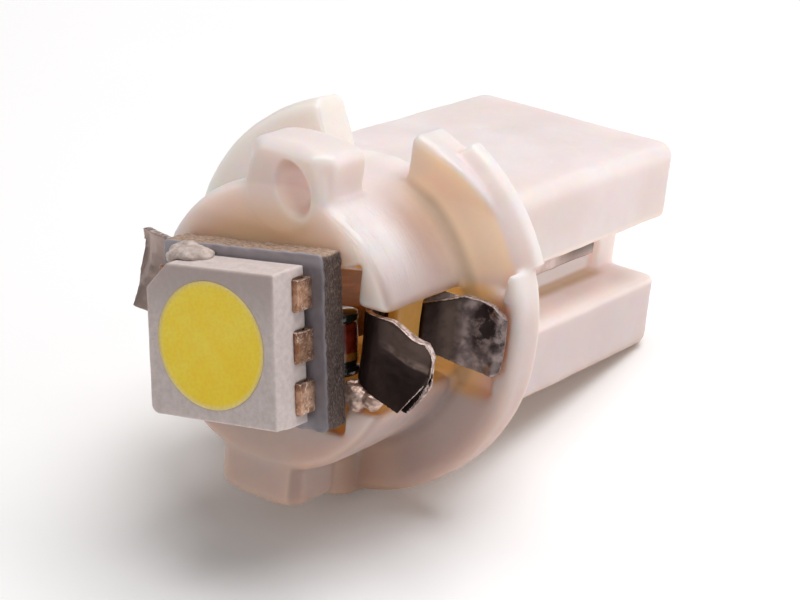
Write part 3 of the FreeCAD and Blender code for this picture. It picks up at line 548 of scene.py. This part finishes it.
def make_contact_edge():
    """The sheared and folded edges of the strip, worn back to bright tin."""
    k = Mat("contact_worn_edge", Metallic=0.55, IOR=1.5)
    x, y, z = k.xyz()
    g = k.noise(5.0, 4.0, 0.65)
    c = k.mix(k.ramp(g, 0.36, 0.62), lin(150, 128, 120), lin(226, 206, 198))
    c = k.mix(k.ramp(k.noise(9.0, 3.0, 0.6, offset=(3, 3, 8)), 0.52, 0.66, 0.0, 0.6), c, lin(104, 84, 76))
    inner = k.ramp(x, 2.9, 1.9)
    c = k.mix(k.math("MULTIPLY", inner, 0.6), c, lin(96, 80, 74))
    k.set("Base Color", c)
    k.set("Roughness", k.ramp(g, 0.3, 0.7, 0.36, 0.54))
    k.set("Normal", k.bump(g, 0.03, 0.8))
    return k.m


def make_lead_metal():
    k = Mat("lead_copper", led_axes=True, Metallic=0.80)
    x, y, z = k.xyz()
    a = k.noise(3.5, 3.0, 0.6)
    b = k.noise(11.0, 3.0, 0.6, vec=k.scaled(1.0, 1.0, 0.5))
    c = k.mix(k.ramp(a, 0.35, 0.65), lin(186, 136, 104), lin(228, 188, 160))
    c = k.mix(k.ramp(b, 0.54, 0.70, 0.0, 0.6), c, lin(140, 98, 76))
    # painted shade: one side of each lead is darker
    w = k.math("FRACT", k.math("ADD", k.math("DIVIDE", z, 1.64), 0.5))
    c = k.mix(k.ramp(w, 0.62, 0.78, 0.0, 0.65), c, lin(120, 82, 62))
    c = k.mix(k.math("MULTIPLY", k.ramp(k.math("ABSOLUTE", z), 0.70, 0.60), 0.35), c, lin(132, 88, 62))
    # painted highlight: the sharp outer edges are painted light
    c = k.mix(k.pointy(0.53, 0.60), c, lin(250, 226, 208))
    k.set("Base Color", c)
    k.set("Roughness", k.ramp(a, 0.3, 0.7, 0.36, 0.52))
    k.set("Normal", k.bump(b, 0.015, 0.7))
    return k.m


def make_solder():
    k = Mat("solder_grainy", Metallic=0.75)
    g = k.noise(3.6, 4.0, 0.62)
    v = k.voronoi(4.2)
    c = k.mix(k.ramp(g, 0.35, 0.65), lin(176, 146, 132), lin(224, 198, 184))
    c = k.mix(k.ramp(v, 0.12, 0.30, 0.45, 0.0), c, lin(96, 72, 62))
    k.set("Base Color", c)
    k.set("Roughness", k.ramp(g, 0.3, 0.7, 0.36, 0.54))
    k.set("Normal", k.bump(k.math("ADD", g, v), 0.05, 0.7))
    return k.m


def make_flux():
    k = Mat("flux_cloudy", IOR=1.45, Subsurface_Weight=0.5, Subsurface_Scale=0.0004)
    k.b.inputs["Subsurface Radius"].default_value = (1.0, 0.9, 0.8)
    g = k.noise(2.4, 4.0, 0.6)
    c = k.mix(k.ramp(g, 0.35, 0.65), lin(184, 168, 160), lin(212, 198, 190))
    c = k.mix(k.ramp(k.noise(5.0, 3.0, 0.6, offset=(4, 4, 1)), 0.56, 0.68, 0.0, 0.5), c, lin(150, 130, 118))
    k.set("Base Color", c)
    k.set("Roughness", k.ramp(g, 0.3, 0.7, 0.52, 0.70))
    k.set("Normal", k.bump(k.noise(7.0, 4.0, 0.65), 0.06, 0.9))
    return k.m


def make_diode_glass():
    """Red-brown glass with an amber band and a black one, along the LED's Z."""
    k = Mat("diode_glass", led_axes=True, IOR=1.52)
    k.b.inputs["Coat Weight"].default_value = 0.7
    x, y, z = k.xyz()
    w = k.math("ADD", z, k.math("MULTIPLY", k.math("SUBTRACT", k.noise(2.2, 2.0), 0.5), 0.10))
    c = k.mix(k.ramp(k.noise(3.0, 3.0), 0.3, 0.7), lin(96, 26, 14), lin(134, 44, 22))
    c = k.mix(k.ramp(w, 0.30, 0.38), c, lin(34, 36, 28))
    c = k.mix(k.ramp(w, -0.58, -0.64), c, lin(150, 92, 36))
    c = k.mix(k.ramp(w, -0.84, -0.90), c, lin(26, 22, 20))
    k.set("Base Color", c)
    k.set("Roughness", k.ramp(k.noise(6.0, 2.0), 0.3, 0.7, 0.12, 0.24))
    k.set("Normal", k.bump(k.noise(4.0, 2.0), 0.02, 0.5))
    return k.m


def make_chip():
    k = Mat("chip_ceramic", led_axes=True, IOR=1.5)
    x, y, z = k.xyz()
    ends = k.math("MAXIMUM", k.ramp(x, -4.26, -4.18), k.ramp(x, -6.44, -6.52))
    body = k.mix(k.ramp(k.noise(5.0, 3.0), 0.3, 0.7), lin(24, 23, 24), lin(44, 42, 44))
    tin = k.mix(k.ramp(k.noise(7.0, 3.0), 0.3, 0.7), lin(150, 142, 138), lin(206, 200, 196))
    k.set("Base Color", k.mix(ends, body, tin))
    k.set("Metallic", ends)
    k.set("Roughness", k.ramp(k.noise(6.0, 2.0), 0.3, 0.7, 0.30, 0.45))
    k.set("Normal", k.bump(k.noise(14.0, 3.0), 0.012, 0.7))
    return k.m


def make_die():
    k = Mat("die_crystal", led_axes=True, IOR=2.2, Metallic=0.3)
    g = k.noise(8.0, 3.0)
    k.set("Base Color", k.mix(k.ramp(g, 0.3, 0.7), lin(110, 130, 170), lin(150, 170, 200)))
    k.set("Roughness", k.ramp(g, 0.3, 0.7, 0.2, 0.4))
    return k.m


def make_floor():
    k = Mat("floor_pale", Roughness=0.85)
    c = k.mix(k.ramp(k.noise(0.05, 2.0), 0.3, 0.7), (0.95, 0.95, 0.95, 1), (0.965, 0.965, 0.96, 1))
    k.set("Base Color", c)
    k.b.inputs["Emission Color"].default_value = (1.0, 1.0, 1.0, 1.0)
    k.b.inputs["Emission Strength"].default_value = 0.07
    return k.m


M = {
    "moulding": make_moulding(), "led_white": make_led_white(), "phosphor": make_phosphor(), "board": make_board(), "bare": make_bare_laminate(),
    "contact": make_contact_metal(), "contact_edge": make_contact_edge(), "lead": make_lead_metal(), "solder": make_solder(), "flux": make_flux(),
    "diode": make_diode_glass(), "chip": make_chip(), "die": make_die(), "floor": make_floor(),
}


# ------------------------------------------------------------------ the moulded holder
def build_body():
    me = remesh(node_copy("base_body"), 0.082)
    v = verts_of(me)
    x, y, z = v[:, 0], v[:, 1], v[:, 2]
    r = np.hypot(y, z)
    relax(me, 4, 0.5)
    # softer where the flange and the lugs grow out of the barrel, and down the stop's inner side
    root = smoothstep(0.75 - np.abs(r - 4.85), 0.0, 0.45) * smoothstep(0.85 - np.abs(x + 0.10), 0.0, 0.5) * smoothstep(np.abs(z), 1.85, 2.3)
    ang = np.degrees(np.arctan2(z, y))
    wall = smoothstep(11.0 - np.abs(ang - 62.0), 0.0, 5.0) * smoothstep(6.30 - r, 0.0, 0.8) * smoothstep(x, -1.5, -1.1) * smoothstep(r, 4.5, 4.8)
    lug = smoothstep(x, 1.5, 1.9) * smoothstep(r, 4.55, 4.9)
    pad = smoothstep(x, 3.1, 3.5) * smoothstep(z, 2.75, 3.1)
    rec = smoothstep(np.abs(y), 3.9, 4.4) * smoothstep(2.3 - np.abs(z), 0.0, 0.3) * smoothstep(x, -0.6, -0.4) * smoothstep(0.25 - x, 0.0, 0.15) * smoothstep(6.55 - np.abs(y), 0.0, 0.15)
    relax(me, 30, 0.5, np.maximum(root, wall))
    relax(me, 12, 0.5, rec)
    relax(me, 6, 0.5, lug * (1.0 - pad))
    relax(me, 3, 0.5, pad)
    wobble(me, 0.036, 2.6, 3.7)
    wobble(me, 0.012, 0.7, 1.3)
    faces = len(me.polygons) * 2
    if faces > 185000:
        me = evaluated(me, ("DECIMATE", dict(decimate_type="COLLAPSE", ratio=180000.0 / faces)))
    return finish_piece(me, "holder_moulding", M["moulding"], ["base_body"])


# ------------------------------------------------------------------ the LED
def build_led():
    me = remesh(node_copy("led_housing", LED_FROM_BULB), 0.038)
    relax(me, 2, 0.5)
    wobble(me, 0.008, 0.8, 2.1)
    finish_piece(me, "led_shell", M["led_white"], ["led_housing"], BULB_FROM_LED)

    # silicone fill: a little dished, wetting the rim of the cup
    bm = bmesh.new()
    r_front, depth, rings, seg = 2.03, 0.85, 14, 72
    prev = None
    centre = bm.verts.new((-0.055, 0, 0))
    for i in range(1, rings + 1):
        t = i / rings
        rr = (r_front + 0.016) * t
        xx = -0.050 + 0.058 * t ** 4
        ring = [bm.verts.new((xx, rr * math.cos(2 * math.pi * j / seg), rr * math.sin(2 * math.pi * j / seg))) for j in range(seg)]
        for j in range(seg):
            if prev is None:
                bm.faces.new((centre, ring[j], ring[(j + 1) % seg]))
            else:
                bm.faces.new((prev[j], ring[j], ring[(j + 1) % seg], prev[(j + 1) % seg]))
        prev = ring
    back = [bm.verts.new((-depth + 0.005, (r_front - 0.30) * math.cos(2 * math.pi * j / seg), (r_front - 0.30) * math.sin(2 * math.pi * j / seg))) for j in range(seg)]
    for j in range(seg):
        bm.faces.new((prev[j], back[j], back[(j + 1) % seg], prev[(j + 1) % seg]))
    bm.faces.new(back[::-1])
    bmesh.ops.recalc_face_normals(bm, faces=bm.faces)
    me = bpy.data.meshes.new("fill")
    bm.to_mesh(me)
    bm.free()
    finish_piece(me, "led_silicone", M["phosphor"], ["phosphor_lens", "led_die_1", "led_die_2", "led_die_3"], BULB_FROM_LED)

    for i in range(1, 7):
        name = "led_lead_%d" % i
        me = remesh(node_copy(name, LED_FROM_BULB), 0.022)
        relax(me, 3, 0.5)
        wobble(me, 0.012, 0.35, i * 1.7)
        finish_piece(me, name + "_strip", M["lead"], [name], BULB_FROM_LED)


# ------------------------------------------------------------------ the two boards
def build_boards():
    me = remesh(node_copy("led_board", LED_FROM_BULB), 0.055)
    relax(me, 3, 0.5)

    def cut_edge(v):
        side = np.maximum(smoothstep(np.abs(v[:, 1]), 3.0, 3.06), smoothstep(np.abs(v[:, 2]), 2.72, 2.78))
        return side
    wobble(me, 0.05, 0.30, 5.5, cut_edge)
    finish_piece(me, "led_board_laminate", M["board"], ["led_board"], BULB_FROM_LED)
    me = remesh(node_copy("wedge_board", LED_FROM_BULB), 0.07)
    relax(me, 3, 0.5)
    finish_piece(me, "wedge_board_laminate", M["bare"], ["wedge_board"], BULB_FROM_LED)
    me = remesh(node_copy("chip_resistor", LED_FROM_BULB), 0.035)
    relax(me, 3, 0.5)
    finish_piece(me, "chip_resistor_body", M["chip"], ["chip_resistor"], BULB_FROM_LED)


def build_diode():
    """Glass body with rounded shoulders between two tinned caps."""
    me = node_copy("diode", LED_FROM_BULB)
    v = verts_of(me)
    lo, hi = v.min(0), v.max(0)
    cx, cy, r = (lo[0] + hi[0]) / 2, (lo[1] + hi[1]) / 2, (hi[0] - lo[0]) / 2
    z0, z1 = lo[2], hi[2]
    prof = [(0.0, z0), (r * 0.80, z0), (r * 0.96, z0 + 0.05), (r * 0.99, z0 + 0.11), (r * 0.99, z0 + 0.28), (r * 0.95, z0 + 0.32),
            (r * 0.86, z0 + 0.35), (r * 0.92, z0 + 0.43), (r * 0.94, z0 + 0.60), (r * 0.94, (z0 + z1) / 2), (r * 0.94, z1 - 0.60),
            (r * 0.92, z1 - 0.43), (r * 0.86, z1 - 0.35), (r * 0.95, z1 - 0.32), (r * 0.99, z1 - 0.28), (r * 0.99, z1 - 0.11),
            (r * 0.96, z1 - 0.05), (r * 0.80, z1), (0.0, z1)]
    seg = 48
    bm = bmesh.new()
    rows = []
    for rr, z in prof:
        if rr == 0:
            rows.append([bm.verts.new((cx, cy, z))])
        else:
            rows.append([bm.verts.new((cx + rr * math.cos(2 * math.pi * j / seg), cy + rr * math.sin(2 * math.pi * j / seg), z)) for j in range(seg)])
    for i, (a, b) in enumerate(zip(rows, rows[1:])):
        cap = 0 if 6 <= i <= 11 else 1
        for j in range(seg):
            k = (j + 1) % seg
            if len(a) == 1:
                f = bm.faces.new((a[0], b[k], b[j]))
            elif len(b) == 1:
                f = bm.faces.new((a[j], a[k], b[0]))
            else:
                f = bm.faces.new((a[j], a[k], b[k], b[j]))
            f.material_index = cap
    bmesh.ops.recalc_face_normals(bm, faces=bm.faces)
    me = bpy.data.meshes.new("diode_body")
    bm.to_mesh(me)
    bm.free()
    finish_piece(me, "diode_body", M["diode"], ["diode"], BULB_FROM_LED, more=(M["solder"],))


# ------------------------------------------------------------------ contacts and solder
def build_contacts():
    for side, s in (("right", 1.0), ("left", -1.0)):
        me = remesh(node_copy("contact_" + side), 0.036)
        relax(me, 2, 0.5)
        v = verts_of(me)
        x, y, z = v[:, 0], v[:, 1] * s, v[:, 2]
        # the flap is creased: above the line it leans back
        a, b = np.array([3.95, 0.72]), np.array([5.55, 0.10])
        t = (b - a) / np.linalg.norm(b - a)
        h = -(y - a[0]) * t[1] + (z - a[1]) * t[0]
        on = smoothstep(x, 3.2, 3.4) * smoothstep(y, 4.0, 4.5)
        x = x - on * 0.22 * np.clip(h, 0.0, 1.2)
        # curled outer lower corner of the spring tab
        q = np.hypot(y - 6.20, z + 0.72)
        x = x + np.where(x < 1.0, 0.22 * np.clip(1 - q / 0.42, 0, 1) ** 1.3, 0.0)
        # its upper outer corner is knocked forward a little
        q = np.hypot(y - 6.14, z - 1.36)
        x = x + np.where(x < 1.0, 0.10 * np.clip(1 - q / 0.35, 0, 1), 0.0)
        v[:, 0] = x
        set_verts(me, v)
        wobble(me, 0.030, 0.9, 4.1 if s > 0 else 8.3)
        wobble(me, 0.008, 0.25, 6.1)
        c = np.empty(len(me.polygons) * 3, np.float32)
        n = np.empty(len(me.polygons) * 3, np.float32)
        me.polygons.foreach_get("center", c)
        me.polygons.foreach_get("normal", n)
        c, n = c.reshape(-1, 3), n.reshape(-1, 3)
        front = np.abs(n[:, 0] * 0.975 + n[:, 1] * s * 0.22)
        flap = (c[:, 0] > 3.30) & (c[:, 1] * s > 4.0)
        tab = (c[:, 0] < 1.0) & (c[:, 1] * s > 4.7)
        bend = (c[:, 0] > 3.0) & ~flap
        edge = ((flap | tab) & (front < 0.60)) | (bend & (np.abs(n[:, 2]) > 0.75)) | (~flap & ~tab & ~bend & (np.abs(n[:, 2]) > 0.8))
        if s > 0:
            a, b = np.array([5.88, -0.24]), np.array([5.30, -1.62])
            t = (b - a) / np.linalg.norm(b - a)
            q = (c[:, 1] - a[0]) * t[1] - (c[:, 2] - a[1]) * t[0]
            edge |= flap & (np.abs(q) < 0.085) & (c[:, 2] < -0.10)
        piece = finish_piece(me, "contact_strip_" + side, M["contact"], ["contact_" + side], more=(M["contact_edge"],))
        piece.data.polygons.foreach_set("material_index", edge.astype(np.int32))


def build_solder():
    for name, seed in (("solder_right", 1.0), ("solder_left", 2.0), ("solder_wedge_upper", 3.0), ("solder_wedge_lower", 4.0)):
        me = remesh(node_copy(name), 0.030)
        relax(me, 2, 0.5)
        relax(me, 5, 0.5)
        wobble(me, 0.09, 0.34, seed)
        wobble(me, 0.02, 0.12, seed + 7)
        finish_piece(me, name + "_joint", M["solder"], [name])
    me = remesh(node_copy("flux_lump"), 0.040)
    relax(me, 8, 0.5)
    wobble(me, 0.12, 0.55, 6.0)
    wobble(me, 0.04, 0.20, 9.0)
    finish_piece(me, "flux_bead", M["flux"], ["flux_lump"])


build_body()
build_led()
build_boards()
build_diode()
build_contacts()
build_solder()


# ------------------------------------------------------------------ floor, light, camera
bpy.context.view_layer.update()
floor_z = CAD_LO.z - 0.00002
bm = bmesh.new()
bmesh.ops.create_grid(bm, x_segments=8, y_segments=8, size=1.2)
fme = bpy.data.meshes.new("floor")
bm.to_mesh(fme)
bm.free()
fme.materials.append(M["floor"])
floor = bpy.data.objects.new("floor", fme)
floor.location = (0, 0, floor_z)
coll.objects.link(floor)

world = bpy.data.worlds.new("studio")
scene.world = world
world.use_nodes = True
world.node_tree.nodes["Background"].inputs[0].default_value = (1.0, 0.995, 0.99, 1)
world.node_tree.nodes["Background"].inputs[1].default_value = 0.185


def area(name, loc, look, size, power, colour=(1, 1, 1)):
    d = bpy.data.lights.new(name, "AREA")
    d.shape = "RECTANGLE"
    d.size, d.size_y = size
    d.energy = power
    d.color = colour
    o = bpy.data.objects.new(name, d)
    o.location = loc
    o.rotation_mode = "QUATERNION"
    o.rotation_quaternion = (Vector(look) - Vector(loc)).to_track_quat("-Z", "Y")
    coll.objects.link(o)
    return o


area("top_box", (-0.055, 0.03, 0.22), (0, 0, 0), (0.19, 0.19), 0.53, (1.0, 0.985, 0.990))
area("right_rear", (-0.17, 0.18, 0.055), (-0.006, 0, 0), (0.12, 0.08), 0.098, (1.0, 0.98, 0.99))
area("front_left", (0.20, -0.16, 0.12), (0, 0, 0), (0.14, 0.14), 0.037, (1.0, 0.98, 0.975))

# the camera as solved from the photograph, in the bulb's axes (mm)
AZ, EL, ROLL, DIST = math.radians(32.131), math.radians(19.334), math.radians(6.48), 80.401
FOCAL_PX = 2338.217
TARGET = Vector((-2.99, 0.305, -0.644))
d = Vector((math.cos(AZ) * math.cos(EL), math.sin(AZ) * math.cos(EL), math.sin(EL)))
right0 = (-d).cross(Vector((0, 0, 1))).normalized()
up0 = right0.cross(-d)
right = math.cos(ROLL) * right0 + math.sin(ROLL) * up0
up = -math.sin(ROLL) * right0 + math.cos(ROLL) * up0
turn = Matrix.Rotation(math.radians(-REST_TILT), 3, "Y")
cd = bpy.data.cameras.new("cam")
cd.sensor_width = 36.0
cd.sensor_fit = "HORIZONTAL"
cd.lens = 36.0 * FOCAL_PX / 800.0
cd.clip_start, cd.clip_end = 0.002, 5.0
cam = bpy.data.objects.new("cam", cd)
r3 = Matrix((turn @ right, turn @ up, turn @ d)).transposed()
cam.matrix_world = Matrix.Translation(ROW_FROM_BULB @ (TARGET + d * DIST)) @ r3.to_4x4()
coll.objects.link(cam)
scene.camera = cam

scene.view_settings.view_transform = "Standard"
scene.view_settings.look = "None"
scene.view_settings.exposure = 0.0
scene.view_settings.gamma = 1.0
